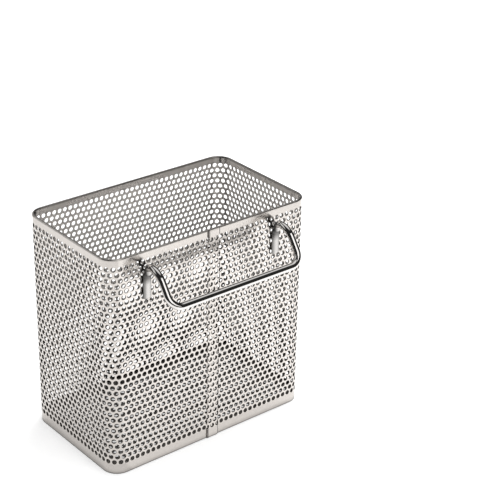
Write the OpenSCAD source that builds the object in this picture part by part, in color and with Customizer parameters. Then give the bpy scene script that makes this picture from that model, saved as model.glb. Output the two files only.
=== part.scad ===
// Hanging drainer basket of punched stainless sheet, for chopsticks, spoons and other small cutlery.
// Millimetres, +Z up. The origin is the middle of the foot, on the worktop. The hanger is on the -Y side.

/* [Body] */
// Outside width of the basket
body_w = 153; // [120:1:200]
// Outside depth of the basket, without the hanger
body_d = 89; // [70:1:120]
// Height from the worktop to the top of the rim
body_h = 148; // [120:1:180]
// Outside radius of the four upright bends
corner_r = 10.5; // [8:0.5:18]
// Thickness of the wall sheet
sheet_t = 0.7; // [0.5:0.1:1]

/* [Punched pattern] */
// Diameter of the drain holes in the wall
hole_d = 3; // [2:0.1:3.2]
// Spacing of the holes along a row
hole_pitch = 4; // [3.8:0.1:6]
// Spacing of the rows
row_pitch = 3.8; // [3.6:0.1:6]
// Plain margin between the top of the rim and the top row of holes
top_band = 5; // [4:0.5:12]
// Plain margin between the worktop and the bottom row of holes
bottom_band = 7; // [6.5:0.5:14]

/* [Rim] */
// Plain strip left between the hem's lower edge and the top row of holes
hem_clear = 0.4; // [0.2:0.1:1]
// Gap left inside the folded hem
hem_gap = 0.2; // [0.1:0.05:0.4]

/* [Seam] */
// Width of the outer end of the sheet that laps over the inner end
lap_w = 8; // [6:0.5:14]
// Length of the joggle that lifts the outer end clear of the inner one
joggle_run = 1.4; // [1:0.1:3]
// Gap between the inner end of the sheet and the joggle
seam_gap = 0.3; // [0.2:0.1:0.8]

/* [Base tray] */
// Height of the tray's floor above the worktop
tray_h = 6; // [4:0.5:6.5]
// Thickness of the tray's sheet
tray_t = 0.7; // [0.5:0.1:1]
// Gap between the tray's flange and the wall
tray_gap = 0.1; // [0.05:0.05:0.3]
// Outside radius of the bend between the floor and the flange
tray_bend_r = 1.6; // [1.2:0.1:3]
// Diameter of the drain holes in the floor
tray_hole_d = 3; // [2:0.1:3.2]
// Spacing of the holes in the floor
tray_pitch = 4; // [3.8:0.1:6]
// Plain margin round the floor's holes
tray_margin = 5; // [4:0.5:12]

/* [Hanger] */
// Diameter of the hanger's wire
wire_d = 4.5; // [3.5:0.1:5]
// Distance between the middles of the two legs
hanger_span = 98.5; // [70:0.5:110]
// Sideways place of the hanger's middle
hanger_x = -0.8; // [-5:0.1:5]
// Depth of the highest point of the wire's middle below the rim
hanger_top = 8.9; // [7:0.1:20]
// Distance from the wall to the middle of the bar
hook_reach = 26; // [23:0.5:40]
// Slope of the legs below level
leg_angle = 55; // [45:1:65]
// Radius of the first quarter of the arch, next to the wall
arch_r_in = 4; // [3.5:0.5:8]
// Radius of the rest of the arch
arch_r_out = 12.5; // [8:0.5:13]
// Radius of the bends between the legs and the bar
bar_bend_r = 8; // [5:0.5:10]
// Gap between the round wire and the wall
wire_clear = 0.1; // [0.05:0.05:1]
// Width of the flattened ends
strap_w = 5.6; // [4.5:0.1:8]
// Thickness of the flattened ends
strap_t = 2.5; // [1.5:0.1:3]
// Length of the flattened ends
strap_len = 15.5; // [10:0.5:25]
// Height over which the wire changes from flat to round
blend_h = 2.2; // [1:0.1:6]

/* [Hidden] */
$fn = 24;
round_fn = 64;
steel = "silver";
bright_steel = "gainsboro";

// Fold of the rim
fold_r = sheet_t + hem_gap / 2;
fold_z = body_h - fold_r;
hem_h = top_band - hem_clear;

// Straight stretches of the wall, and the length of a bend along the middle of the sheet
front_flat = body_w - 2 * corner_r;
side_flat = body_d - 2 * corner_r;
bend_len = (corner_r - sheet_t / 2) * PI / 2;

// Rows of holes, spread evenly between the two plain margins
rows_h = body_h - top_band - bottom_band - hole_d;
row_n = round(rows_h / row_pitch) + 1;
row_step = rows_h / (row_n - 1);
function row_z(j) = bottom_band + hole_d / 2 + j * row_step;

// Columns stand half a pitch apart, and every other row uses every other column.
// An odd count on the back brings the two ends of the sheet together half a pitch out of step.
front_n = 2 * round(front_flat / hole_pitch);
side_n = 2 * round(side_flat / hole_pitch);
back_n = 2 * round(front_flat / hole_pitch) + 1;
bend_n = 2 * max(1, round(bend_len / hole_pitch));
front_step = front_flat / front_n;
side_step = side_flat / side_n;
back_step = front_flat / back_n;
bend_step = 90 / bend_n;
left_phase = 0;
right_phase = back_n % 2;

// Seam on the front
inner_end_x = lap_w / 2 - seam_gap;
joggle_end_x = lap_w / 2 + joggle_run;
right_cols = floor((front_flat / 2 - joggle_end_x) / front_step);
lap_start_x = front_flat / 2 - right_cols * front_step;
lap_cols = ceil((lap_start_x + lap_w / 2) / front_step);
hem_slit = 0.1;

// Base tray
tray_w = body_w - 2 * (sheet_t + tray_gap);
tray_d = body_d - 2 * (sheet_t + tray_gap);
tray_r = corner_r - sheet_t - tray_gap;
tray_cols = floor((tray_w - 2 * tray_margin - tray_hole_d) / tray_pitch);
tray_row_step = tray_pitch * sin(60);
tray_rows = floor((tray_d - 2 * tray_margin - tray_hole_d) / tray_row_step);

// Hanger: places in its side view, outwards from the wall and upwards
wire_off = wire_d / 2 + wire_clear;
peak = [wire_off + arch_r_in, body_h - hanger_top];
arch_end = peak + arch_r_out * [sin(leg_angle), cos(leg_angle) - 1];
leg_run = (hook_reach - arch_end[0]) / cos(leg_angle);
leg_len = leg_run - bar_bend_r;
bar_z = arch_end[1] - leg_run * sin(leg_angle);
strap_top_z = peak[1] - arch_r_in - blend_h;
strap_edge_r = 0.35 * strap_t;
blend_lap = 0.5;
fuse_inset = 0.1;

// Sheet with its holes, lying in the plane: columns start at x = 0, and phase picks the rows that start there
module punched(len, step, phase) {
    difference() {
        square([len, fold_z]);
        for (k = [0 : ceil((len + hole_d) / step)], j = [0 : row_n - 1])
            if ((j + k + phase) % 2 == 0)
                translate([k * step, row_z(j)]) circle(d = hole_d);
    }
}

// Section through the hem, with the wall's outer face on x = 0 and the inside on the -x side
module hem_section() {
    translate([-fold_r, fold_z]) difference() {
        circle(r = fold_r, $fn = round_fn);
        circle(d = hem_gap, $fn = round_fn);
        translate([-2 * fold_r, -2 * fold_r]) square([4 * fold_r, 2 * fold_r]);
    }
    translate([-2 * fold_r, body_h - hem_h]) square([sheet_t, hem_h - fold_r]);
}

// Length of hem along +X, with the wall's outer face on y = 0
module hem_run(len) {
    translate([len, 0, 0]) rotate([90, 0, -90]) linear_extrude(len) hem_section();
}

// Flat stretch of wall along +X, with its outer face on y = 0 and its hem behind it
module flat_wall(len, step, phase) {
    translate([0, sheet_t, 0]) rotate([90, 0, 0]) linear_extrude(sheet_t) punched(len, step, phase);
    hem_run(len);
}

// Upright bend through a quarter turn about Z, from +X to +Y
module bend_wall(phase) {
    difference() {
        rotate_extrude(angle = 90, $fn = 4 * round_fn) translate([corner_r, 0]) {
            translate([-sheet_t, 0]) square([sheet_t, fold_z]);
            hem_section();
        }
        for (k = [0 : bend_n], j = [0 : row_n - 1])
            if ((j + k + phase) % 2 == 0)
                rotate([0, 0, k * bend_step]) translate([corner_r - 3 * sheet_t, 0, row_z(j)])
                    rotate([0, 90, 0]) cylinder(d = hole_d, h = 4 * sheet_t);
    }
}

// Turns a piece made for the front wall to the side that faces angle
module facing(angle, out) {
    rotate([0, 0, angle]) translate([0, -out, 0]) children();
}

module wall_front_left() {
    color(steel) facing(0, body_d / 2) translate([-front_flat / 2, 0, 0])
        flat_wall(front_flat / 2 + inner_end_x, front_step, left_phase);
}

module wall_front_right() {
    color(steel) facing(0, body_d / 2) {
        translate([lap_start_x, 0, 0])
            flat_wall(front_flat / 2 - lap_start_x, front_step, right_phase + right_cols);
        translate([inner_end_x + hem_slit, 0, 0]) hem_run(lap_start_x - inner_end_x - hem_slit);
    }
}

module wall_left_side() {
    color(steel) facing(-90, body_w / 2) translate([-side_flat / 2, 0, 0])
        flat_wall(side_flat, side_step, left_phase);
}

module wall_right_side() {
    color(steel) facing(90, body_w / 2) translate([-side_flat / 2, 0, 0])
        flat_wall(side_flat, side_step, right_phase);
}

module wall_back() {
    color(steel) facing(180, body_d / 2) translate([-front_flat / 2, 0, 0])
        flat_wall(front_flat, back_step, right_phase);
}

module corner(x_side, y_side, turn, phase) {
    color(steel) translate([x_side * front_flat / 2, y_side * side_flat / 2, 0])
        rotate([0, 0, turn]) bend_wall(phase);
}

module corner_front_left() {
    corner(-1, -1, 180, left_phase);
}

module corner_front_right() {
    corner(1, -1, 270, right_phase);
}

module corner_back_left() {
    corner(-1, 1, 90, left_phase);
}

module corner_back_right() {
    corner(1, 1, 0, right_phase);
}

// Plan of the joggled end: it lies on the inner end of the sheet, then steps back to the wall's plane
module lap_plan() {
    polygon([
        [-lap_w / 2, -sheet_t], [lap_w / 2, -sheet_t], [joggle_end_x, 0], [lap_start_x, 0],
        [lap_start_x, sheet_t], [joggle_end_x, sheet_t], [lap_w / 2, 0], [-lap_w / 2, 0]
    ]);
}

module wall_seam_lap() {
    color(steel) facing(0, body_d / 2) difference() {
        union() {
            linear_extrude(fold_z) lap_plan();
            translate([-lap_w / 2, -sheet_t, fold_z]) cube([lap_w, sheet_t, fold_r]);
        }
        for (k = [0 : lap_cols], j = [0 : row_n - 1])
            if ((j + k + right_cols + right_phase) % 2 == 0)
                translate([lap_start_x - k * front_step, 2 * sheet_t, row_z(j)])
                    rotate([90, 0, 0]) cylinder(d = hole_d, h = 4 * sheet_t);
    }
}

module rounded_rect(w, d, r) {
    square([w - 2 * r, d], center = true);
    square([w, d - 2 * r], center = true);
    for (x = [-1, 1], y = [-1, 1])
        translate([x * (w / 2 - r), y * (d / 2 - r)]) circle(r = r, $fn = round_fn);
}

// Section through the tray's edge: the flange, then the bend up to the floor, with the outer face on x = 0
module tray_edge_section() {
    translate([-tray_t, 0]) square([tray_t, tray_h - tray_bend_r]);
    translate([-tray_bend_r, tray_h - tray_bend_r]) intersection() {
        difference() {
            circle(r = tray_bend_r, $fn = round_fn);
            circle(r = tray_bend_r - tray_t, $fn = round_fn);
        }
        square(tray_bend_r);
    }
}

// One straight edge of the tray, on the side that faces +X
module tray_side(len, out) {
    translate([out, len / 2, 0]) rotate([90, 0, 0]) linear_extrude(len) tray_edge_section();
}

module tray_floor() {
    difference() {
        rounded_rect(tray_w - 2 * tray_bend_r, tray_d - 2 * tray_bend_r, tray_r - tray_bend_r);
        for (j = [0 : tray_rows], i = [0 : tray_cols]) {
            shift = (j % 2) / 2;
            if (i + shift <= tray_cols)
                translate([(i + shift - tray_cols / 2) * tray_pitch, (j - tray_rows / 2) * tray_row_step])
                    circle(d = tray_hole_d);
        }
    }
}

module base_tray() {
    color(steel) {
        translate([0, 0, tray_h - tray_t]) linear_extrude(tray_t) tray_floor();
        for (turn = [0, 180]) {
            rotate([0, 0, turn]) tray_side(tray_d - 2 * tray_r, tray_w / 2);
            rotate([0, 0, turn + 90]) tray_side(tray_w - 2 * tray_r, tray_d / 2);
        }
        for (turn = [0 : 90 : 270]) {
            along_x = turn == 0 || turn == 180;
            half_w = (along_x ? tray_w : tray_d) / 2 - tray_r;
            half_d = (along_x ? tray_d : tray_w) / 2 - tray_r;
            rotate([0, 0, turn]) translate([half_w, half_d, 0])
                rotate_extrude(angle = 90, $fn = 4 * round_fn) translate([tray_r, 0]) tray_edge_section();
        }
    }
}

// Part of the arch in the hanger's side view, from its top down through angle, on the wall's side or outwards
module arch(r, angle, outwards) {
    translate([peak[0], peak[1] - r, 0]) mirror([outwards ? 1 : 0, 0, 0]) rotate([0, 0, 90])
        rotate_extrude(angle = angle, $fn = 4 * round_fn) translate([r, 0])
            circle(d = wire_d, $fn = round_fn);
}

// Stretch of strap or wire going up from z, with its middle at off from the wall
module upright(off, z, len) {
    translate([off, z, 0]) rotate([-90, 0, 0]) linear_extrude(len) children();
}

// One leg in its side view: x outwards from the wall, y up, z across.
// The straight is a hair thinner than the arch and starts inside it, so that the two fuse cleanly.
module leg() {
    upright(strap_t / 2, strap_top_z - strap_len, strap_len) rounded_rect(strap_t, strap_w, strap_edge_r);
    hull() {
        upright(strap_t / 2, strap_top_z - blend_lap, blend_lap)
            rounded_rect(strap_t - fuse_inset, strap_w - fuse_inset, strap_edge_r);
        upright(wire_off, strap_top_z + blend_h, blend_lap / 2)
            circle(d = wire_d - fuse_inset, $fn = 32);
    }
    arch(arch_r_in, 90, false);
    arch(arch_r_out, leg_angle, true);
    translate([arch_end[0], arch_end[1], 0]) rotate([0, 90, -leg_angle]) translate([0, 0, -blend_lap])
        cylinder(d = wire_d - fuse_inset / 2, h = leg_len + blend_lap, $fn = round_fn);
}

module placed_leg(side) {
    color(bright_steel) translate([hanger_x + side * hanger_span / 2, -body_d / 2, 0])
        rotate([90, 0, -90]) leg();
}

module hanger_left_leg() {
    placed_leg(-1);
}

module hanger_right_leg() {
    placed_leg(1);
}

// The bar and its two bends lie in the plane of the legs
module hanger_bar() {
    half = hanger_span / 2 - bar_bend_r;
    color(bright_steel) translate([hanger_x, -body_d / 2 - hook_reach, bar_z])
        rotate([180 + leg_angle, 0, 0]) {
            translate([-half, 0, 0]) rotate([0, 90, 0]) cylinder(d = wire_d, h = 2 * half, $fn = round_fn);
            for (side = [-1, 1])
                translate([side * half, -bar_bend_r, 0]) rotate([0, 0, side > 0 ? 0 : 90])
                    rotate_extrude(angle = 90, $fn = 4 * round_fn) translate([bar_bend_r, 0])
                        circle(d = wire_d, $fn = round_fn);
        }
}

wall_front_left();
wall_front_right();
wall_seam_lap();
wall_left_side();
wall_right_side();
wall_back();
corner_front_left();
corner_front_right();
corner_back_left();
corner_back_right();
base_tray();
hanger_left_leg();
hanger_right_leg();
hanger_bar();
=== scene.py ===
"""Looks of the hanging drainer basket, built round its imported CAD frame.

The wall is one punched sheet. It is modelled in the sheet's own coordinates, as it would be cut
before bending: a column number along the strip, a height, and a depth through the thickness.
SheetPlan then bends that strip round the basket. The hanger is one wire, swept along its path
with flattened ends. Lengths are metres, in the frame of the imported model.
"""

import logging
import math
from dataclasses import dataclass, field
from enum import Enum
from functools import reduce

import bpy
import numpy as np
from mathutils import Matrix, Vector

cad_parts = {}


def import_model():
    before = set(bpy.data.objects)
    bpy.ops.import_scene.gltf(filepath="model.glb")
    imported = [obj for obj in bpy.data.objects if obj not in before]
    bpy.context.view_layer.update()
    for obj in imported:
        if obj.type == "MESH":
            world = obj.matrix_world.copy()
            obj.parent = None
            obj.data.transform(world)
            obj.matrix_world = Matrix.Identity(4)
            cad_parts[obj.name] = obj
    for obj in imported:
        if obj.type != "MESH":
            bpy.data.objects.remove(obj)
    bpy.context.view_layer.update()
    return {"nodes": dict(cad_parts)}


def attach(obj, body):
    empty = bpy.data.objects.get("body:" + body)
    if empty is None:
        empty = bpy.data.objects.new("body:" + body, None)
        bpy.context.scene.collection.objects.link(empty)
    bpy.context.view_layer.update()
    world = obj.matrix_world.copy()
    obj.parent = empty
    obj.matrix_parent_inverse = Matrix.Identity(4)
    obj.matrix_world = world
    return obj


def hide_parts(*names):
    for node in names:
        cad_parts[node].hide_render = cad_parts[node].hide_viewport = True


log = logging.getLogger("basket")

MM = 0.001
PICTURE_PX = 500
SENSOR_MM = 36.0
WHITE = (1.0, 1.0, 1.0, 1.0)
UP = np.array([0.0, 0.0, 1.0])
NUMBER = "NodeSocketFloat"
# Corners on the same step of a grid are welded. Each coordinate has this many bits in their key.
STEPS_PER_METRE = 1e6
KEY_BITS = 21

Socket = bpy.types.NodeSocket
Span = tuple[float, float]
Point = tuple[float, float, float]
Feeds = dict[str | int, Socket | float | tuple[float, ...]]
# A section's outer point, outer normal and inner point, each as (depth, height).
Station = tuple[Span, Span, Span]


class Slot(Enum):
    """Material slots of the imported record."""

    SHEET = "sheet"
    WIRE = "wire"


# mesh helpers


def smooth_mesh(name: str, points: list | np.ndarray, faces: list) -> bpy.types.Mesh:
    """Makes a mesh with smooth faces."""
    mesh = bpy.data.meshes.new(name)
    mesh.from_pydata(points, [], faces)
    mesh.update()
    mesh.polygons.foreach_set("use_smooth", np.ones(len(mesh.polygons), bool))
    return mesh


def placed(name: str, data: bpy.types.ID) -> bpy.types.Object:
    """Makes an object of some data and puts it in the scene."""
    made = bpy.data.objects.new(name, data)
    bpy.context.scene.collection.objects.link(made)
    return made


@dataclass
class QuadSoup:
    """Loose quads with a normal at every corner, welded into one mesh at the end."""

    name: str
    points: list[np.ndarray] = field(default_factory=list)
    normals: list[np.ndarray] = field(default_factory=list)
    cuts: list[np.ndarray] = field(default_factory=list)

    def add(self, points: np.ndarray, normals: np.ndarray, cut: bool = False) -> None:
        """Adds quads.

        Args:
            points: Corner positions, shaped (..., 4, 3), anticlockwise seen from outside.
            normals: Shading normals of the same shape.
            cut: Whether these are a sheared edge, which has the second material, near black as
                painted shadow.
        """
        self.points.append(points.reshape(-1, 4, 3))
        self.normals.append(np.broadcast_to(normals, points.shape).reshape(-1, 4, 3))
        self.cuts.append(np.full(len(self.points[-1]), int(cut)))

    def build(self) -> bpy.types.Object:
        """Welds the corners and makes the object.

        Returns:
            A new mesh object with the stored normals.
        """
        points = np.concatenate(self.points)
        normals = np.concatenate(self.normals)
        grid = np.round(points.reshape(-1, 3) * STEPS_PER_METRE).astype(np.int64)
        x, y, z = (grid + (1 << (KEY_BITS - 1))).T
        keys = (x << (2 * KEY_BITS)) | (y << KEY_BITS) | z
        _, first, index = np.unique(keys, return_index=True, return_inverse=True)
        faces = index.reshape(-1, 4)
        whole = np.all(faces != np.roll(faces, 1, axis=1), axis=1)
        mesh = smooth_mesh(self.name, points.reshape(-1, 3)[first], faces[whole].tolist())
        lengths = np.linalg.norm(normals, axis=2, keepdims=True)
        shading = (normals / np.maximum(lengths, 1e-9))[whole].reshape(-1, 3)
        mesh.polygons.foreach_set("material_index", np.concatenate(self.cuts)[whole])
        mesh.normals_split_custom_set(shading.tolist())
        return placed(self.name, mesh)


# the punched wall


@dataclass(frozen=True)
class Stretch:
    """One straight or bent length of the sheet, from one column to another."""

    first: float
    last: float
    start: Span
    heading: float
    length: float
    turn: float = 0.0


@dataclass(frozen=True)
class SheetPlan:
    """Bends the flat strip round the basket.

    Columns run from the seam over the left side, the back and the right side, and return to the
    seam, where the outer end is joggled over the inner one.
    """

    body_w: float = 153 * MM
    body_d: float = 89 * MM
    corner_r: float = 10.5 * MM
    thickness: float = 0.7 * MM
    pitch: float = 4 * MM
    bend_columns: int = 8
    lap_w: float = 8 * MM
    joggle_run: float = 1.4 * MM

    @property
    def front_columns(self) -> int:
        """Half-pitch columns across the front's flat."""
        return 2 * round((self.body_w - 2 * self.corner_r) / self.pitch)

    @property
    def side_columns(self) -> int:
        """Half-pitch columns across a side's flat."""
        return 2 * round((self.body_d - 2 * self.corner_r) / self.pitch)

    @property
    def back_columns(self) -> int:
        """Half-pitch columns across the back's flat, odd, to put the seam's ends out of step."""
        return self.front_columns + 1

    def stretches(self) -> list[Stretch]:
        """Lists the strip's stretches in order, with their first columns, starts and headings.

        Returns:
            The stretches, the first and last of which run past the seam.
        """
        w, d, r, pi = self.body_w / 2, self.body_d / 2, self.corner_r, math.pi
        front, side, bend = self.body_w - 2 * r, self.body_d - 2 * r, pi / 2 * r
        bends, sides = self.bend_columns, self.side_columns
        made = [Stretch(-self.front_columns, 0, (w - r, -d), pi, front)]
        column = 0
        for columns, start, heading, length, turn in (
            (bends, (r - w, -d), pi, bend, -pi / 2),
            (sides, (-w, r - d), pi / 2, side, 0.0),
            (bends, (-w, d - r), pi / 2, bend, -pi / 2),
            (self.back_columns, (r - w, d), 0.0, front, 0.0),
            (bends, (w - r, d), 0.0, bend, -pi / 2),
            (sides, (w, d - r), -pi / 2, side, 0.0),
            (bends, (w, r - d), -pi / 2, bend, -pi / 2),
            (self.front_columns, (w - r, -d), -pi, front, 0.0),
        ):
            made.append(Stretch(column, column + columns, start, heading, length, turn))
            column += columns
        return made

    def marks(self) -> list[int]:
        """Columns at which the nine stretches meet, from the front left bend line onwards."""
        return [int(s.first) for s in self.stretches()[1:]]

    def joggle(self, x: np.ndarray) -> np.ndarray:
        """How far the outer end of the sheet stands out at x on the front."""
        run = np.clip((self.lap_w / 2 + self.joggle_run - x) / self.joggle_run, 0, 1)
        return self.thickness * run * run * (3 - 2 * run)

    def place(self, column: np.ndarray) -> tuple[np.ndarray, np.ndarray]:
        """Finds where columns lie on the outer face.

        Args:
            column: Column numbers, which may be fractions.

        Returns:
            Plan positions and outward normals, each with a last axis of 2.
        """
        xy = np.zeros((*column.shape, 2))
        out = np.zeros_like(xy)
        parts = self.stretches()
        for i, s in enumerate(parts):
            low = -math.inf if i == 0 else s.first
            high = math.inf if i == len(parts) - 1 else s.last
            here = (column >= low) & (column <= high)
            run = (column[here] - s.first) / (s.last - s.first) * s.length
            if s.turn:
                angle = s.heading + s.turn * run / s.length
                left = np.stack([-np.sin(angle), np.cos(angle)], -1)
                first_left = np.array([-math.sin(s.heading), math.cos(s.heading)])
                centre = np.array(s.start) - self.corner_r * first_left
                xy[here] = centre + self.corner_r * left
                out[here] = left
            else:
                along = np.array([math.cos(s.heading), math.sin(s.heading)])
                xy[here] = np.array(s.start) + run[..., None] * along
                out[here] = [-along[1], along[0]]
        return xy, out

    def step_at(self, column: float, forward: bool) -> float:
        """Length of one column on the outer face, just after a column or just before it."""
        probe = column + (0.25 if forward else -0.25)
        if probe < 0:
            return self.pitch / 2
        parts = self.stretches()[1:]
        s = next((s for s in parts if probe < s.last), parts[-1])
        return s.length / (s.last - s.first)


@dataclass(frozen=True)
class Pattern:
    """Staggered punched holes."""

    hole_r: float = 1.5 * MM
    rows: int = 36
    row_step: float = 3.8 * MM
    first_row: float = 8.5 * MM
    rollover: float = 0.16 * MM
    sides: int = 16

    @property
    def brick_edge(self) -> np.ndarray:
        """How far across a square brick its outline is, from -1 to 1, at each side of a hole."""
        steps = np.arange(self.sides)
        return np.clip(2 - 8 * np.minimum(steps, self.sides - steps) / self.sides, -1, 1)

    @property
    def low(self) -> float:
        """Height at which the plain bottom margin ends."""
        return self.first_row - self.row_step / 2

    @property
    def high(self) -> float:
        """Height at which the plain top margin starts."""
        return self.first_row + (self.rows - 0.5) * self.row_step


@dataclass(frozen=True)
class Section:
    """A run of columns that is one piece and stands for one CAD node."""

    name: str
    node: str
    first: int
    last: int
    starts_cut: bool = False
    ends_cut: bool = False
    lap: bool = False

    @property
    def middle(self) -> float:
        """Its middle column."""
        return (self.first + self.last) / 2

    @property
    def bent(self) -> bool:
        """Whether it is a corner bend."""
        return self.node.startswith("corner")


@dataclass
class WallSheet:
    """The punched wall with its hem, its foot and its lapped seam."""

    plan: SheetPlan
    pattern: Pattern
    body_h: float = 148 * MM
    hem_gap: float = 0.2 * MM
    edge_r: float = 0.14 * MM
    fold_steps: int = 10
    lap_edge_r: float = 0.224 * MM
    lap_bevel: float = 0.3
    nudge: float = 0.02 * MM
    tail_gap: float = 0.02
    crease_h: float = 0.8 * MM
    crease_w: float = 0.24
    crease_reach: float = 2.5
    crease_steps: int = 16

    @property
    def lap_columns(self) -> int:
        """Columns in half the width of the lap."""
        return round(self.plan.lap_w / self.plan.pitch)

    @property
    def fold_r(self) -> float:
        """Outside radius of the hem's fold."""
        return self.plan.thickness + self.hem_gap / 2

    def sections(self) -> list[Section]:
        """Divides the strip at its bend lines and at the seam.

        Returns:
            One section for each CAD node of the wall.
        """
        a, b, c, d, e, f, g, h = self.plan.marks()
        seam = self.plan.front_columns // 2
        inner_end = -seam - self.lap_columns
        outer_end = h + seam + self.lap_columns
        lap_start = h + seam - self.lap_columns - 1
        return [
            Section("wall_front_left_skin", "wall_front_left", inner_end, a, starts_cut=True),
            Section("bend_front_left_skin", "corner_front_left", a + 1, b - 1),
            Section("wall_left_skin", "wall_left_side", b, c),
            Section("bend_back_left_skin", "corner_back_left", c + 1, d - 1),
            Section("wall_back_skin", "wall_back", d, e),
            Section("bend_back_right_skin", "corner_back_right", e + 1, f - 1),
            Section("wall_right_skin", "wall_right_side", f, g),
            Section("bend_front_right_skin", "corner_front_right", g + 1, h - 1),
            Section("wall_front_right_skin", "wall_front_right", h, lap_start),
            Section(
                "seam_lap_skin", "wall_seam_lap", lap_start + 1, outer_end, ends_cut=True, lap=True
            ),
        ]

    def solid(
        self, column: np.ndarray, height: np.ndarray, depth: np.ndarray, joggled: bool
    ) -> np.ndarray:
        """Bends sheet coordinates round the basket.

        Args:
            column: Column numbers.
            height: Heights above the worktop.
            depth: Depths below the outer face.
            joggled: Whether these belong to the outer end, which the joggle lifts.

        Returns:
            Points with a last axis of 3.
        """
        xy, out = self.plan.place(column)
        lift = self.plan.joggle(xy[..., 0]) if joggled else 0.0
        flat = xy + out * (lift - depth)[..., None]
        return np.concatenate([flat, height[..., None]], -1)

    def outward(self, column: np.ndarray, joggled: bool) -> np.ndarray:
        """Outward normals at columns, tilted on the joggle's slope."""
        xy, out = self.plan.place(column)
        if joggled:
            ahead, behind = (self.plan.joggle(xy[..., 0] + d) for d in (self.nudge, -self.nudge))
            slope = (ahead - behind) / (2 * self.nudge)
            out = out - np.stack([slope, np.zeros_like(slope)], -1)
        return np.concatenate([out, np.zeros((*column.shape, 1))], -1)

    def bricks(self, part: Section, soup: QuadSoup) -> None:
        """Adds the sheet round each hole of a section, one brick of sheet per hole.

        Args:
            part: The section.
            soup: Where the quads go.
        """
        p, plan = self.pattern, self.plan
        n = p.sides
        rim = np.arange(n) * 2 * math.pi / n
        cos, sin = np.cos(rim), np.sin(rim)
        edge_a = p.brick_edge
        edge_z = np.roll(edge_a, n // 4) * p.row_step / 2
        for column in range(part.first, part.last + 1):
            rows = np.array([j for j in range(p.rows) if (j + column) % 2 == 0])
            z = p.first_row + rows * p.row_step
            step = np.where(cos >= 0, plan.step_at(column, True), plan.step_at(column, False))
            rings = []
            for r, depth in (
                (None, 0.0),
                (p.hole_r + p.rollover, 0.0),
                (p.hole_r, p.rollover),
                (p.hole_r, plan.thickness),
                (None, plan.thickness),
            ):
                a = edge_a if r is None else r * cos / step
                dz = edge_z if r is None else r * sin
                cols = np.broadcast_to(column + a, (len(rows), n))
                rings.append((cols, z[:, None] + dz, np.full((len(rows), n), depth)))
            points = [self.solid(*ring, joggled=part.lap) for ring in rings]
            face = [self.outward(ring[0], part.lap) for ring in rings]
            inward = cos[:, None] * np.cross(face[1], UP) - sin[:, None] * UP
            bands = [
                (0, 1, face[0], face[1]),
                (1, 2, face[1], inward),
                (2, 3, inward, inward),
                (3, 4, -face[3], -face[4]),
            ]
            keep = np.ones(n, bool)
            ahead = np.cos(rim + math.pi / n)
            if part.starts_cut and column == part.first:
                keep = ahead > 0
            if part.ends_cut and column == part.last:
                keep = ahead < 0
            for i, j, ni, nj in bands:
                a, b = points[i], points[j]
                quads = np.stack([a, b, np.roll(b, -1, 1), np.roll(a, -1, 1)], 2)
                shade = np.stack([ni, nj, np.roll(nj, -1, 1), np.roll(ni, -1, 1)], 2)
                soup.add(quads[:, keep], shade[:, keep])

    def cut_end(self, part: Section, forward: bool, soup: QuadSoup) -> None:
        """Closes the sheet's free end, where it runs through the middle of every other hole.

        Args:
            part: The section.
            forward: Whether the end faces onwards along the strip.
            soup: Where the quads go.
        """
        p, t = self.pattern, self.plan.thickness
        column = part.last if forward else part.first
        spans = []
        for j in range(p.rows):
            z, h = p.first_row + j * p.row_step, p.row_step / 2
            if (j + column) % 2 == 0:
                spans += [(z - h, z - p.hole_r), (z + p.hole_r, z + h)]
            else:
                spans.append((z - h, z + h))
        spans += [(0.0, p.low), (p.high, self.body_h if part.lap else self.body_h - self.fold_r)]
        z = np.array(spans)
        z = np.stack([z[:, 0], z[:, 1], z[:, 1], z[:, 0]], 1)
        d = np.broadcast_to(np.array([0, 0, t, t]), z.shape)
        cols = np.full(z.shape, float(column))
        quads = self.solid(cols, z, d, part.lap)
        out = self.outward(cols, False)
        along = np.cross(UP, out) * (-1 if forward else 1)
        soup.add(quads if forward else quads[:, ::-1], along, cut=True)

    def hem_path(self) -> list[Station]:
        """Section through the folded hem, as stations of (outer point, outer normal, inner point).

        Returns:
            Stations from the top of the holes over the fold to the hem's lower edge.
        """
        t, r, top = self.plan.thickness, self.fold_r, self.body_h - self.fold_r
        low, e = self.pattern.high, self.edge_r
        path = [((0, low), (1, 0), (t, low)), ((0, top), (1, 0), (t, top))]
        for i in range(1, self.fold_steps + 1):
            a = math.pi * i / self.fold_steps
            c, rise, n = math.cos(a), math.sin(a), (math.cos(a), math.sin(a))
            if c < 0:
                # The inner half is pressed squarer than the outer one.
                rise = math.sqrt(max(rise, 0.0))
                steep = math.hypot(2 * c, 4 * rise**3)
                n = (2 * c / steep, 4 * rise**3 / steep)
            path.append(((r - r * c, top + r * rise), n, (r - (r - t) * c, top + (r - t) * rise)))
        path.append(((2 * r, low + e), (-1, 0), (2 * r - t, low + e)))
        path.append(((2 * r - e, low), (-1, -1), (2 * r - t + e, low)))
        return path

    def crease(self, columns: np.ndarray, part: Section) -> tuple[np.ndarray, np.ndarray]:
        """Crease of the hem's inner layer at the middle of a bend, where the fold lacks room.

        Args:
            columns: Column numbers.
            part: The section they belong to.

        Returns:
            How far the inner layer stands in, and how steeply that changes along the strip.
        """
        if not part.bent:
            return np.zeros(columns.shape), np.zeros(columns.shape)
        reach = (columns - part.middle) / self.crease_w
        size = self.crease_h * np.exp(-reach * reach)
        step = self.plan.step_at(part.middle, True)
        return size, -2 * reach * size / (self.crease_w * step)

    def foot_path(self) -> list[Station]:
        """Section through the plain foot, from the holes down to the worktop."""
        t, e, low = self.plan.thickness, self.edge_r, self.pattern.low
        return [
            ((t, low), (-1, 0), (0, low)),
            ((t, e), (-1, 0), (0, e)),
            ((t - e, 0), (-1, -1), (e, 0)),
        ]

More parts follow.
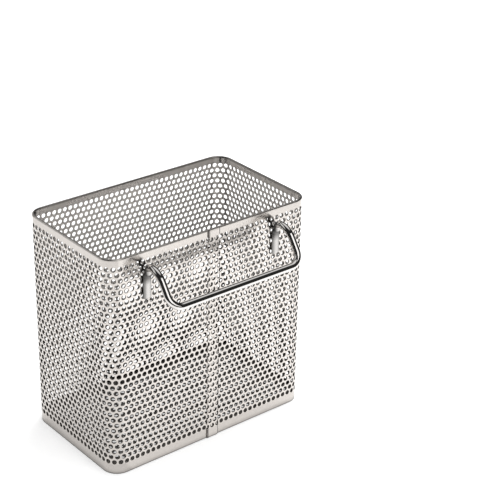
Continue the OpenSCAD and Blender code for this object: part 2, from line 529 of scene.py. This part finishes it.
    def lap_path(self) -> list[Station]:
        """Section through the lap's top, which ends in a plain rounded edge level with the hem."""
        t, e, low, top = self.plan.thickness, self.lap_edge_r, self.pattern.high, self.body_h
        b = self.lap_bevel * e
        return [
            ((0, low), (1, 0), (t, low)),
            ((0, top - e), (1, 0), (t, top - e)),
            ((b, top - b), (1, 1), (t - b, top - b)),
            ((e, top), (0.2, 1), (t - e, top)),
        ]

    def ribbon(
        self,
        path: list[Station],
        columns: np.ndarray,
        part: Section,
        soup: QuadSoup,
        joggled: bool,
    ) -> None:
        """Sweeps a thin section along the strip.

        Args:
            path: Stations of (outer point, outer normal, inner point), each point (depth, height).
            columns: Columns to sweep through.
            part: The section it belongs to.
            soup: Where the quads go.
            joggled: Whether the joggle lifts it.
        """
        face = self.outward(columns, joggled)
        along = np.cross(UP, face)
        rise, slope = self.crease(columns, part)

        def share(station: Station) -> float:
            """How much of the crease reaches a station, from the fold's top to its back."""
            return min(max(station[0][0] / self.fold_r - 1, 0.0), 1.0)

        def rail(index: int, station: Station) -> np.ndarray:
            """Points of one station's outer or inner edge along the columns."""
            depth, height = station[index]
            heights = np.full(columns.shape, float(height))
            return self.solid(columns, heights, depth + rise * share(station), joggled)

        def normal(station: Station) -> np.ndarray:
            """Outer normals of a station along the columns."""
            out, up = station[1]
            return face * out + UP * up + along * (slope * share(station))[:, None] * out

        def strip(a: np.ndarray, b: np.ndarray, na: np.ndarray, nb: np.ndarray) -> None:
            """Adds the quads between two rails."""
            quads, shade = (
                np.stack([p[:-1], q[:-1], q[1:], p[1:]], 1) for p, q in ((a, b), (na, nb))
            )
            soup.add(quads, shade)

        for s, e in zip(path, path[1:]):
            strip(rail(0, s), rail(0, e), normal(s), normal(e))
            strip(rail(2, e), rail(2, s), -normal(e), -normal(s))
        last = path[-1]
        edge = np.broadcast_to(UP if last[0][1] == self.body_h else -UP, face.shape)
        strip(rail(0, last), rail(2, last), edge, edge)

    def build(self) -> list[tuple[bpy.types.Object, str]]:
        """Builds every section of the wall.

        Returns:
            Pairs of the new piece and the CAD node it stands for.
        """
        made = []
        for part in self.sections():
            soup = QuadSoup(part.name)
            self.bricks(part, soup)
            first = part.first if part.starts_cut else part.first - 0.5
            last = part.last if part.ends_cut else part.last + 0.5
            columns = np.arange(first, last + 0.25, 0.5)
            if part.bent:
                fine = np.linspace(-1, 1, self.crease_steps + 1) * self.crease_reach * self.crease_w
                columns = np.unique(np.concatenate([columns, part.middle + fine]).round(4))
            self.ribbon(self.foot_path(), columns, part, soup, part.lap)
            top = self.lap_path() if part.lap else self.hem_path()
            self.ribbon(top, columns, part, soup, part.lap)
            if part.lap:
                tail = np.array([first, part.last - 2 * self.lap_columns - self.tail_gap])
                self.ribbon(self.hem_path(), tail, part, soup, False)
            if part.starts_cut:
                self.cut_end(part, False, soup)
            if part.ends_cut:
                self.cut_end(part, True, soup)
            piece = soup.build()
            made.append((piece, part.node))
            log.info("%s: %d faces", part.name, len(piece.data.polygons))
        return made


# the hanger


def shares(steps: int) -> list[float]:
    """Equal steps from just above 0 up to 1."""
    return [i / steps for i in range(1, steps + 1)]


@dataclass(frozen=True)
class HangerWire:
    """One polished wire: two flattened straps, two arches, two sloping legs and the bar."""

    wall_y: float = -44.5 * MM
    rim_z: float = 148 * MM
    wire_d: float = 4.5 * MM
    span: float = 98.5 * MM
    middle_x: float = -0.8 * MM
    top_drop: float = 8.9 * MM
    reach: float = 26 * MM
    slope: float = math.radians(55)
    arch_r_in: float = 4 * MM
    arch_r_out: float = 12.5 * MM
    bar_bend_r: float = 8 * MM
    clearance: float = 0.1 * MM
    strap_w: float = 5.6 * MM
    strap_t: float = 2.5 * MM
    strap_len: float = 15.5 * MM
    strap_power: float = 2.1
    blend_h: float = 2.2 * MM
    end_depth: float = 0.45
    end_shrink: float = 0.42
    around: int = 40
    strap_steps: int = 10
    blend_steps: int = 8
    arch_in_steps: int = 16
    arch_out_steps: int = 18
    leg_steps: int = 6
    bend_steps: int = 16
    bar_steps: int = 24
    end_steps: int = 5

    def side_path(self) -> list[tuple[Vector, float]]:
        """One leg in its side view, from the strap's lower end to where the bar's bend begins.

        Returns:
            Stations of (offset from the wall, height) with how round the section is there.
        """
        off, half_t = self.wire_d / 2 + self.clearance, self.strap_t / 2
        peak = Vector((off + self.arch_r_in, self.rim_z - self.top_drop))
        strap_top = peak.y - self.arch_r_in - self.blend_h
        strap_low = strap_top - self.strap_len
        path = [
            (Vector((half_t, strap_low + self.strap_len * s)), 0.0)
            for s in (0.0, *shares(self.strap_steps))
        ]
        for s in shares(self.blend_steps):
            ease = s * s * (3 - 2 * s)
            flat = Vector((half_t * (1 - ease) + off * ease, strap_top + self.blend_h * s))
            path.append((flat, ease))
        quarter = math.pi / 2
        for r, start, turn, steps in (
            (self.arch_r_in, math.pi, quarter, self.arch_in_steps),
            (self.arch_r_out, quarter, self.slope, self.arch_out_steps),
        ):
            centre = Vector((peak.x, peak.y - r))
            for s in shares(steps):
                a = start - turn * s
                path.append((centre + r * Vector((math.cos(a), math.sin(a))), 1.0))
        end = path[-1][0]
        run = (self.reach - end.x) / math.cos(self.slope) - self.bar_bend_r
        down = Vector((math.cos(self.slope), -math.sin(self.slope)))
        return path + [(end + down * run * s, 1.0) for s in shares(self.leg_steps)]

    def whole_path(self) -> list[tuple[Vector, float]]:
        """The wire's middle line in space, from one strap over the bar to the other.

        Returns:
            Stations of a point and how round the section is there.
        """
        leg = self.side_path()
        down = Vector((0, -math.cos(self.slope), -math.sin(self.slope)))
        across = Vector((1, 0, 0))
        r = self.bar_bend_r

        def spot(side: int, flat: Vector) -> Vector:
            """A leg's point in space."""
            return Vector((self.middle_x + side * self.span / 2, self.wall_y - flat.x, flat.y))

        path = [(spot(-1, p), k) for p, k in leg]
        low = path[-1][0]
        corner = []
        for s in shares(self.bend_steps):
            a = math.pi / 2 * s
            corner.append(low + across * r * (1 - math.cos(a)) + down * r * math.sin(a))
        bar = [corner[-1] + across * (self.span - 2 * r) * s for s in shares(self.bar_steps)]
        back = [Vector((2 * self.middle_x - p.x, p.y, p.z)) for p in reversed(corner[:-1])]
        path += [(p, 1.0) for p in corner + bar + back]
        return path + [(spot(1, p), k) for p, k in reversed(leg)]

    def ring(self, roundness: float) -> np.ndarray:
        """Section of the wire: a soft-cornered flat strap at 0, a circle at 1.

        Args:
            roundness: How far it has changed from flat to round.

        Returns:
            Points (across, outwards), shaped (around, 2).
        """
        strap = np.array([self.strap_w / 2, self.strap_t / 2, self.strap_power])
        circle = np.array([self.wire_d / 2, self.wire_d / 2, 2.0])
        a, b, power = strap * (1 - roundness) + circle * roundness
        t = np.arange(self.around) * 2 * math.pi / self.around
        c, s = np.cos(t), np.sin(t)
        x = a * np.sign(c) * np.abs(c) ** (2 / power)
        y = b * np.sign(s) * np.abs(s) ** (2 / power)
        return np.stack([x, y], 1)

    def build(self) -> bpy.types.Object:
        """Sweeps the section along the wire.

        Returns:
            The wire as one closed mesh.
        """
        path = self.whole_path()
        points = [p for p, _ in path]
        pairs = zip([points[0], *points[:-1]], [*points[1:], points[-1]])
        tangents = [(after - before).normalized() for before, after in pairs]
        across = Vector((1, 0, 0))
        rings = []
        for (p, k), t, prev in zip(path, tangents, [tangents[0], *tangents[:-1]]):
            across = prev.rotation_difference(t) @ across
            across = (across - t * across.dot(t)).normalized()
            outwards = across.cross(t)
            rings.append(np.array([p + across * x + outwards * y for x, y in self.ring(k)]))
        first, last = self.rounded_ends(rings, tangents)
        verts = np.concatenate(first + rings + last)
        n = self.around
        faces = [
            (a + j, a + n + j, a + n + (j + 1) % n, a + (j + 1) % n)
            for a in range(0, len(verts) - n, n)
            for j in range(n)
        ]
        faces += [tuple(range(n)), tuple(reversed(range(len(verts) - n, len(verts))))]
        log.info("hanger_wire: %d faces", len(faces))
        return placed("hanger_wire", smooth_mesh("hanger_wire", verts.tolist(), faces))

    def rounded_ends(self, rings: list[np.ndarray], tangents: list[Vector]) -> tuple[list, list]:
        """Softens the straps' lower ends, keeping their backs on the wall.

        Args:
            rings: The swept rings, the first and last of which are moved back to make room.
            tangents: The path's direction at each ring.

        Returns:
            Rings to put before the first and after the last.
        """
        out = []
        for ring, way in ((rings[0], -tangents[0]), (rings[-1], tangents[-1])):
            centre = ring.mean(0)
            centre[1] = ring[:, 1].max()
            shift = np.array(way) * self.strap_t * self.end_depth
            ring -= shift
            made = []
            for s in shares(self.end_steps):
                a = math.pi / 2 * s
                shrink = 1 - self.end_shrink * (1 - math.cos(a))
                made.append(centre - shift + (ring + shift - centre) * shrink + shift * math.sin(a))
            out.append(made)
        return out[0][::-1], out[1]


# finishes


@dataclass(frozen=True)
class NodeKit:
    """Adds nodes to a node tree and wires them."""

    tree: bpy.types.NodeTree

    @classmethod
    def group(cls, name: str) -> "NodeKit":
        """Starts an empty node group."""
        return cls(bpy.data.node_groups.new(name, "ShaderNodeTree"))

    def feed(self, node: bpy.types.Node, inputs: Feeds) -> None:
        """Links a node's inputs to sockets or gives them values."""
        for key, value in inputs.items():
            if isinstance(value, Socket):
                self.tree.links.new(value, node.inputs[key])
            else:
                node.inputs[key].default_value = value

    def add(self, kind: str, inputs: Feeds | None = None, **settings: object) -> bpy.types.Node:
        """Adds a node.

        Args:
            kind: Its type.
            inputs: A socket or a value for each input that is not left as it is.
            settings: Properties of the node itself.

        Returns:
            The new node.
        """
        made = self.tree.nodes.new(kind)
        for name, value in settings.items():
            setattr(made, name, value)
        self.feed(made, inputs or {})
        return made

    def take(self, usual: dict[str, float]) -> bpy.types.NodeOutputs:
        """Gives a group inputs with their usual values, and gives back their sockets."""
        for name, value in usual.items():
            made = self.tree.interface.new_socket(name, in_out="INPUT", socket_type=NUMBER)
            made.default_value = value
        return self.add("NodeGroupInput").outputs

    def give(self, **results: Socket) -> bpy.types.NodeTree:
        """Gives a group its outputs, and gives back the finished group."""
        for name in results:
            self.tree.interface.new_socket(name, in_out="OUTPUT", socket_type=NUMBER)
        self.add("NodeGroupOutput", results)
        return self.tree

    def maths(self, kind: str, a: Socket, b: Socket | float = 0.0) -> Socket:
        """Adds a maths node of a kind and gives its result."""
        return self.add("ShaderNodeMath", {0: a, 1: b}, operation=kind).outputs[0]

    def times(self, *factors: Socket | float) -> Socket:
        """Multiplies a socket by the factors after it."""
        return reduce(lambda a, b: self.maths("MULTIPLY", a, b), factors)

    def hypot(self, a: Socket, b: Socket) -> Socket:
        """Gives the length of a line that reaches a one way and b across it."""
        return self.maths("SQRT", self.maths("ADD", self.times(a, a), self.times(b, b)))

    def ramp(self, value: Socket, ends: Span, to: Span = (0.0, 1.0)) -> Socket:
        """Maps a value from one range to another and gives the result."""
        names = ("From Min", "From Max", "To Min", "To Max")
        inputs = {"Value": value, **dict(zip(names, (*ends, *to)))}
        return self.add("ShaderNodeMapRange", inputs).outputs["Result"]

    def place(self) -> list[Socket]:
        """Gives the object coordinates X, Y and Z."""
        spot = self.add("ShaderNodeTexCoord").outputs["Object"]
        return list(self.add("ShaderNodeSeparateXYZ", {0: spot}).outputs)

    def stand_out(self, x: Socket, y: Socket, half: Span, corner_r: float) -> Socket:
        """Measures how far a point stands out of a rounded rectangle.

        Args:
            x: The point's place along the rectangle, from its middle.
            y: Its place across it.
            half: Half of the rectangle's length and width.
            corner_r: Its corner radius.

        Returns:
            A socket with the distance, below 0 inside the rectangle.
        """
        past = [
            self.maths("SUBTRACT", self.maths("ABSOLUTE", axis), size - corner_r)
            for axis, size in zip((x, y), half)
        ]
        corner = self.hypot(*(self.maths("MAXIMUM", reach, 0.0) for reach in past))
        flat = self.maths("MINIMUM", self.maths("MAXIMUM", *past), 0.0)
        return self.maths("SUBTRACT", self.maths("ADD", corner, flat), corner_r)


@dataclass(frozen=True)
class GrainGroup:
    """Rolled-sheet grain, smudges and a fine uneven surface, shared by the metals."""

    name: str = "rolled_grain"
    stretch: Point = (0.5, 0.5, 1.0)
    grain_share: float = 0.5
    grain_detail: float = 3.0
    smudge_detail: float = 5.0
    wave_detail: float = 1.0

    def make(self) -> bpy.types.NodeTree:
        """Builds the group once.

        Returns:
            The node group, with outputs Tone, Smudge and Height.
        """
        found = bpy.data.node_groups.get(self.name)
        if found:
            return found
        kit = NodeKit.group(self.name)
        given = kit.take(
            {"Grain Scale": 900.0, "Smudge Scale": 40.0, "Wave Scale": 25.0, "Wave Share": 0.5}
        )
        spot = kit.add("ShaderNodeTexCoord").outputs["Object"]
        drawn = kit.add("ShaderNodeMapping", {"Vector": spot, "Scale": self.stretch})

        def noise(where: Socket, scale: str, detail: float) -> Socket:
            """Adds a noise at one of the given scales."""
            inputs = {"Vector": where, "Scale": given[scale], "Detail": detail}
            return kit.add("ShaderNodeTexNoise", inputs).outputs["Fac"]

        grain = noise(drawn.outputs["Vector"], "Grain Scale", self.grain_detail)
        smudge = noise(spot, "Smudge Scale", self.smudge_detail)
        wave = noise(spot, "Wave Scale", self.wave_detail)
        tone = kit.add("ShaderNodeMix", {0: self.grain_share, 2: smudge, 3: grain})
        height = kit.add("ShaderNodeMix", {0: given["Wave Share"], 2: grain, 3: wave})
        return kit.give(Tone=tone.outputs[0], Smudge=smudge, Height=height.outputs[0])


@dataclass(frozen=True)
class SheetShadingZones:
    """Painted shade on the wall sheet: darker inside, on the step, on plain margins and at edges,
    where shade and dark reflections fall.

    Names that end in out are distances from the outer face and those in z are heights, given as
    where a zone starts and where it is full. Names that end in keep are the share of colour kept.
    """

    name: str = "sheet_painted_shading"
    half: Span = (SheetPlan.body_w / 2, SheetPlan.body_d / 2)
    corner_r: float = SheetPlan.corner_r
    behind_out: Span = (-0.1 * MM, -0.6 * MM)
    inside_z: Span = (147.4 * MM, 147.1 * MM)
    inside_keep_z: Span = (95 * MM, 138 * MM)
    inside_keep: Span = (0.60, 0.90)
    band_z: Span = (142 * MM, 143 * MM)
    band_keep: float = 0.93
    step_from_out: Span = (0.05 * MM, 0.15 * MM)
    step_to_out: Span = (0.64 * MM, 0.55 * MM)
    step_keep: float = 0.30
    top_z: Span = (139 * MM, 142 * MM)
    top_step_keep: float = 0.35
    low_z: Span = (9 * MM, 6 * MM)
    lap_out: Span = (0.5 * MM, 0.6 * MM)
    lap_x: Span = (-2.6 * MM, -3.2 * MM)
    lap_keep: float = 0.35
    foot_z: Span = (7.6 * MM, 6.6 * MM)
    foot_keep: float = 0.85
    foot_edge_z: Span = (0.9 * MM, 0.6 * MM)
    foot_edge_keep: float = 0.5
    roll_z: Span = (146.6 * MM, 147 * MM)
    crest_out: Span = (-0.5 * MM, -0.7 * MM)
    crest_keep: float = 0.6
    crease_out: Span = (-1.7 * MM, -1.9 * MM)
    crease_keep: float = 0.45
    hem_from_z: Span = (143.3 * MM, 143.5 * MM)
    hem_to_z: Span = (144.1 * MM, 143.8 * MM)
    hem_low_keep: float = 0.7

    def make(self) -> bpy.types.NodeTree:
        """Builds the group.

        Returns:
            The node group, with outputs Keep, the share of colour kept under the painted shade, and
            Dull.
        """
        kit = NodeKit.group(self.name)
        x, y, z = kit.place()
        out = kit.stand_out(x, y, self.half, self.corner_r)
        behind = kit.ramp(out, self.behind_out)
        inside = kit.times(behind, kit.ramp(z, self.inside_z))
        step = kit.times(kit.ramp(out, self.step_from_out), kit.ramp(out, self.step_to_out))
        roll, top = kit.ramp(z, self.roll_z), kit.ramp(z, self.top_z)
        margins = kit.maths("ADD", kit.ramp(z, self.low_z), top)
        on_lap = kit.times(margins, kit.ramp(out, self.lap_out), kit.ramp(x, self.lap_x))
        hem_low = kit.times(kit.ramp(z, self.hem_from_z), kit.ramp(z, self.hem_to_z), behind)
        # Painted shade: darker inside, more so lower down, and a little darker on the outer face
        # above band_z.
        outer = kit.ramp(z, self.band_z, (1.0, self.band_keep))
        inner = kit.ramp(z, self.inside_keep_z, self.inside_keep)
        keep = kit.maths("ADD", kit.times(kit.maths("SUBTRACT", inner, outer), inside), outer)
        # Painted shadow lines at the step, the lap's free edge, the foot's bottom edge and the
        # hem's lower edge; painted shade on the foot, the rim's crest and the bends' creases.
        for zone, left in (
            (step, self.step_keep),
            (kit.ramp(z, self.foot_z), self.foot_keep),
            (kit.times(roll, kit.ramp(out, self.crest_out)), self.crest_keep),
            (kit.ramp(z, self.foot_edge_z), self.foot_edge_keep),
            (kit.ramp(out, self.crease_out), self.crease_keep),
            (hem_low, self.hem_low_keep),
            (on_lap, self.lap_keep),
            (kit.times(step, top), self.top_step_keep),
        ):
            keep = kit.times(keep, kit.ramp(zone, (0.0, 1.0), (1.0, left)))
        return kit.give(Keep=keep, Dull=kit.maths("MAXIMUM", inside, roll))


@dataclass(frozen=True)
class WireShadingZones:
    """Painted shade on the wire's pressed ends, most of all at their edges and necks, with a
    painted highlight along the middle of each strap.
    """

    name: str = "wire_painted_shading"
    pressed_y: Span = (-49.6 * MM, -48 * MM)
    crown_y: Span = (-46.9 * MM, -45 * MM)
    crown_keep: Span = (0.62, 0.20)
    neck_z: Span = (127 * MM, 131.5 * MM)
    neck_keep: float = 0.28
    middle_x: float = HangerWire.middle_x
    span: float = HangerWire.span
    ridge_half: Span = (0.6 * MM, 2.2 * MM)
    ridge_keep: Span = (1.25, 0.70)

    def make(self) -> bpy.types.NodeTree:
        """Builds the group, with outputs Keep, the share of colour kept under the painted shade and
        highlight, and Dull.
        """
        kit = NodeKit.group(self.name)
        x, y, z = kit.place()
        pressed = kit.ramp(y, self.pressed_y)
        # Painted shadow where the strap's edges meet the wall, painted shade at the necks under the
        # arches, and a painted highlight on the strap's ridge.
        crown = kit.ramp(y, self.crown_y, self.crown_keep)
        neck = kit.ramp(z, self.neck_z, (1.0, self.neck_keep))
        across = x
        for away in (self.middle_x, self.span / 2):
            across = kit.maths("ABSOLUTE", kit.maths("SUBTRACT", across, away))
        ridge = kit.ramp(across, self.ridge_half, self.ridge_keep)
        # Away from the ends all is kept: 1 - pressed * (1 - crown * ridge * neck).
        loss = kit.maths("ADD", kit.times(crown, ridge, neck, -1.0), 1.0)
        keep = kit.maths("ADD", kit.times(loss, pressed, -1.0), 1.0)
        return kit.give(Keep=keep, Dull=pressed)


@dataclass(frozen=True)
class Steel:
    """A stainless finish: its colour, how sharply it mirrors, its unevenness, and zones of painted
    shade where it is also duller.
    """

    name: str
    dark: Point
    light: Point
    rough: Span
    grain_scale: float = 1500.0
    wave_scale: float = 30.0
    wave_share: float = 0.5
    bump: float = 0.25
    bump_depth: float = 0.4 * MM
    tone_from: Span = (0.25, 0.75)
    smudge_from: Span = (0.3, 0.7)
    shading_zones: SheetShadingZones | WireShadingZones | None = None
    dull_rough: float = 0.0

    def make(self) -> bpy.types.Material:
        """Builds the material.

        Returns:
            The finish as a material.
        """
        made = bpy.data.materials.new(self.name)
        made.use_nodes = True
        kit = NodeKit(made.node_tree)
        scales = {
            "Grain Scale": self.grain_scale,
            "Wave Scale": self.wave_scale,
            "Wave Share": self.wave_share,
        }
        grain = kit.add("ShaderNodeGroup", scales, node_tree=GrainGroup().make()).outputs
        share = kit.ramp(grain["Tone"], self.tone_from)
        ends = {0: share, 6: (*self.dark, 1), 7: (*self.light, 1)}
        tone = kit.add("ShaderNodeMix", ends, data_type="RGBA").outputs[2]
        rough = kit.ramp(grain["Smudge"], self.smudge_from, self.rough)
        # Painted shade and highlights: the zones scale the colour, and also make it rougher.
        if self.shading_zones:
            shading_zones = kit.add("ShaderNodeGroup", node_tree=self.shading_zones.make()).outputs
            both = {0: 1.0, 6: tone, 7: shading_zones["Keep"]}
            multiply = {"data_type": "RGBA", "blend_type": "MULTIPLY"}
            tone = kit.add("ShaderNodeMix", both, **multiply).outputs[2]
            rough = kit.maths("ADD", kit.times(shading_zones["Dull"], self.dull_rough), rough)
        uneven = {"Strength": self.bump, "Distance": self.bump_depth, "Height": grain["Height"]}
        shader = {
            "Metallic": 1.0,
            "Base Color": tone,
            "Roughness": rough,
            "Normal": kit.add("ShaderNodeBump", uneven).outputs["Normal"],
        }
        kit.feed(made.node_tree.nodes["Principled BSDF"], shader)
        return made


SHEET_STEEL = Steel(
    "satin_punched_sheet",
    dark=(0.52, 0.490, 0.462),
    light=(0.61, 0.575, 0.542),
    rough=(0.14, 0.22),
    wave_share=0.6,
    shading_zones=SheetShadingZones(),
    dull_rough=0.10,
)
# The sheared edge is rough, and its near-black colour is also painted shadow in the gap along the
# lap's free edge.
EDGE_STEEL_AND_SHADOW = Steel(
    "sheared_edge_and_painted_shadow",
    dark=(0.03, 0.028, 0.026),
    light=(0.06, 0.056, 0.052),
    rough=(0.45, 0.60),
    grain_scale=2500.0,
    wave_scale=90.0,
    wave_share=0.3,
    bump=0.4,
    bump_depth=0.2 * MM,
)
# The tray's steel is darkened as painted shade, for the shadow inside the basket.
SHADED_TRAY_STEEL = Steel(
    "tray_sheet_painted_shade",
    dark=(0.19, 0.181, 0.171),
    light=(0.25, 0.238, 0.226),
    rough=(0.28, 0.38),
)
WIRE_STEEL = Steel(
    "polished_wire",
    dark=(0.62, 0.60, 0.58),
    light=(0.70, 0.68, 0.66),
    rough=(0.05, 0.10),
    grain_scale=2500.0,
    wave_scale=60.0,
    bump=0.08,
    bump_depth=0.2 * MM,
    shading_zones=WireShadingZones(),
    dull_rough=0.2,
)


def dress(piece: bpy.types.Object, *materials: bpy.types.Material) -> None:
    """Gives a piece its materials in place of any it has."""
    piece.data.materials.clear()
    for material in materials:
        piece.data.materials.append(material)


# studio


@dataclass(frozen=True)
class Lamp:
    """A soft square lamp: where it hangs, its side, its watts and whether the metal mirrors it."""

    name: str
    spot: Point
    size: float
    power: float
    mirrored: bool

    def hang(self, target: Point) -> None:
        """Hangs the lamp so that it faces a target."""
        data = bpy.data.lights.new(self.name, "AREA")
        data.shape, data.size, data.energy = "SQUARE", self.size, self.power
        made = placed(self.name, data)
        made.location = self.spot
        aim = Vector(target) - Vector(self.spot)
        made.rotation_mode = "QUATERNION"
        made.rotation_quaternion = aim.to_track_quat("-Z", "Y")
        made.visible_glossy = self.mirrored


@dataclass(frozen=True)
class Studio:
    """Pale floor, soft lamps, a white sky and the photograph's camera.

    The metal sees the floor bright within the first lit_r, and dim from the second outwards: a
    painted pool of light, with a painted shadow to the basket's left.
    """

    azimuth: float = -39.557
    elevation: float = 26.42
    roll: float = 1.089
    focal_px: float = 1486.67
    distance: float = 0.988764
    shift_right: float = 0.048075
    shift_up: float = 0.103862
    clip: Span = (0.05, 50.0)
    floor_size: float = 12.0
    floor_z: float = -0.2 * MM
    floor_tone: float = 0.82
    floor_rough: float = 0.9
    floor_shine: float = 0.1
    lit_r: Span = (0.38, 0.62)
    dim: float = 0.03
    white_lift: float = 0.43
    mirror_lift: float = 0.76
    foot_half: Span = (0.0755, 0.0435)
    foot_r: float = 0.0095
    foot_fade: float = 0.005
    dusk_x: Span = (-0.24, -0.13)
    dusk: Span = (0.88, 0.82)
    dusk_end_x: Span = (-0.075, -0.06)
    bright_sides: tuple[Point, ...] = (
        (0.30, 0.20, 0.93),
        (-0.60, 0.65, 0.46),
        (0.30, 0.95, 0.05),
    )
    bright_from: Span = (0.86, 0.94)
    bright: Span = (0.03, 1.2)
    even_sky: float = 0.65
    target: Point = (0.0, 0.0, 0.07)
    lamps: tuple[Lamp, ...] = (
        Lamp("key_softbox", (0.9, 0.3, 1.5), 1.0, 14.0, mirrored=False),
        Lamp("front_softbox", (0.04, -1.5, 1.14), 1.5, 11.5, mirrored=True),
    )

    def camera(self) -> None:
        """Sets the camera where the photograph's stood."""
        az, el, roll = (math.radians(v) for v in (self.azimuth, self.elevation, self.roll))
        back = Vector((math.sin(az) * math.cos(el), -math.cos(az) * math.cos(el), math.sin(el)))
        right = (-back).cross(Vector((0, 0, 1))).normalized()
        up = right.cross(-back)
        x = right * math.cos(roll) + up * math.sin(roll)
        y = up * math.cos(roll) - right * math.sin(roll)
        data = bpy.data.cameras.new("photo_camera")
        data.sensor_width = SENSOR_MM
        data.lens = self.focal_px * SENSOR_MM / PICTURE_PX
        data.clip_start, data.clip_end = self.clip
        made = placed("photo_camera", data)
        made.matrix_world = Matrix((x, y, back)).transposed().to_4x4()
        made.location = back * self.distance + x * self.shift_right + y * self.shift_up
        bpy.context.scene.camera = made

    def floor(self) -> None:
        """Lays the floor, which the camera sees as white under its soft shadow."""
        h = self.floor_size / 2
        square = [(-h, -h, 0), (h, -h, 0), (h, h, 0), (-h, h, 0)]
        made = placed("studio_floor", smooth_mesh("studio_floor", square, [(0, 1, 2, 3)]))
        made.location.z = self.floor_z
        paint = bpy.data.materials.new("pale_floor")
        paint.use_nodes = True
        kit = NodeKit(paint.node_tree)
        path = kit.add("ShaderNodeLightPath").outputs
        x, y, _ = kit.place()
        lit = kit.ramp(kit.hypot(x, y), self.lit_r, (1.0, self.dim))
        # Painted shadow of the basket on the floor to its left, seen only in reflections.
        dusk = kit.ramp(x, self.dusk_x, self.dusk)
        lit = kit.times(lit, kit.maths("MAXIMUM", dusk, kit.ramp(x, self.dusk_end_x)))
        mirrored = kit.maths("MAXIMUM", path["Is Glossy Ray"], path["Is Transmission Ray"])
        # The colour fades only for mirrored rays: 1 - mirrored * (1 - lit).
        loss = kit.times(mirrored, kit.maths("SUBTRACT", lit, 1.0))
        # The floor that the basket stands on gets no light of its own.
        past_foot = kit.stand_out(x, y, self.foot_half, self.foot_r)
        open_floor = kit.ramp(past_foot, (0.0, self.foot_fade))
        # Painted light: for mirrored rays the floor glows round the basket.
        glow = kit.times(mirrored, lit, self.mirror_lift, open_floor)
        shown = kit.times(path["Is Camera Ray"], self.white_lift)
        shader = {
            "Base Color": kit.times(kit.maths("ADD", loss, 1.0), self.floor_tone),
            "Roughness": self.floor_rough,
            "Specular IOR Level": self.floor_shine,
            "Emission Color": WHITE,
            "Emission Strength": kit.maths("ADD", shown, glow),
        }
        kit.feed(paint.node_tree.nodes["Principled BSDF"], shader)
        dress(made, paint)

    def sky(self) -> None:
        """White to the camera, and to the metal dark with bright patches, like studio walls."""
        world = bpy.data.worlds.new("studio")
        bpy.context.scene.world = world
        world.use_nodes = True
        world.node_tree.nodes.clear()
        kit = NodeKit(world.node_tree)
        way = kit.add("ShaderNodeTexCoord").outputs["Generated"]
        path = kit.add("ShaderNodeLightPath").outputs
        near = []
        for side in self.bright_sides:
            product = {0: way, 1: side}
            node = kit.add("ShaderNodeVectorMath", product, operation="DOT_PRODUCT")
            near.append(node.outputs["Value"])
        nearest = reduce(lambda a, b: kit.maths("MAXIMUM", a, b), near)

        def mixed(ray: str, a: bpy.types.Node, b: bpy.types.Node) -> bpy.types.Node:
            """Shows a to most rays and b to one kind of ray."""
            inputs = {0: path[ray], 1: a.outputs[0], 2: b.outputs[0]}
            return kit.add("ShaderNodeMixShader", inputs)

        patches = {"Strength": kit.ramp(nearest, self.bright_from, self.bright)}
        glossy = kit.add("ShaderNodeBackground", patches)
        even = kit.add("ShaderNodeBackground", {"Color": WHITE, "Strength": self.even_sky})
        white = kit.add("ShaderNodeBackground", {"Color": WHITE})
        shown = mixed("Is Camera Ray", mixed("Is Glossy Ray", even, glossy), white)
        kit.add("ShaderNodeOutputWorld", {"Surface": shown.outputs[0]})

    def build(self) -> None:
        """Sets up camera, floor, sky and lamps."""
        self.camera()
        self.floor()
        self.sky()
        for lamp in self.lamps:
            lamp.hang(self.target)
        bpy.context.scene.view_settings.view_transform = "Standard"


# main


def main() -> None:
    """Loads the frame, builds and dresses every piece, and sets up the studio."""
    logging.basicConfig(level=logging.INFO, format="%(name)s: %(message)s")
    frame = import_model()
    finishes = (SHEET_STEEL, EDGE_STEEL_AND_SHADOW, SHADED_TRAY_STEEL, WIRE_STEEL)
    sheet, edge, tray, wire = (steel.make() for steel in finishes)
    for piece, node in WallSheet(SheetPlan(), Pattern()).build():
        dress(piece, sheet, edge)
        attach(piece, "root")
        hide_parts(node)
    hanger = HangerWire().build()
    dress(hanger, wire)
    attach(hanger, "root")
    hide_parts("hanger_left_leg", "hanger_right_leg", "hanger_bar")
    dress(frame["nodes"]["base_tray"], tray)
    Studio().build()


if __name__ == "__main__":
    main()
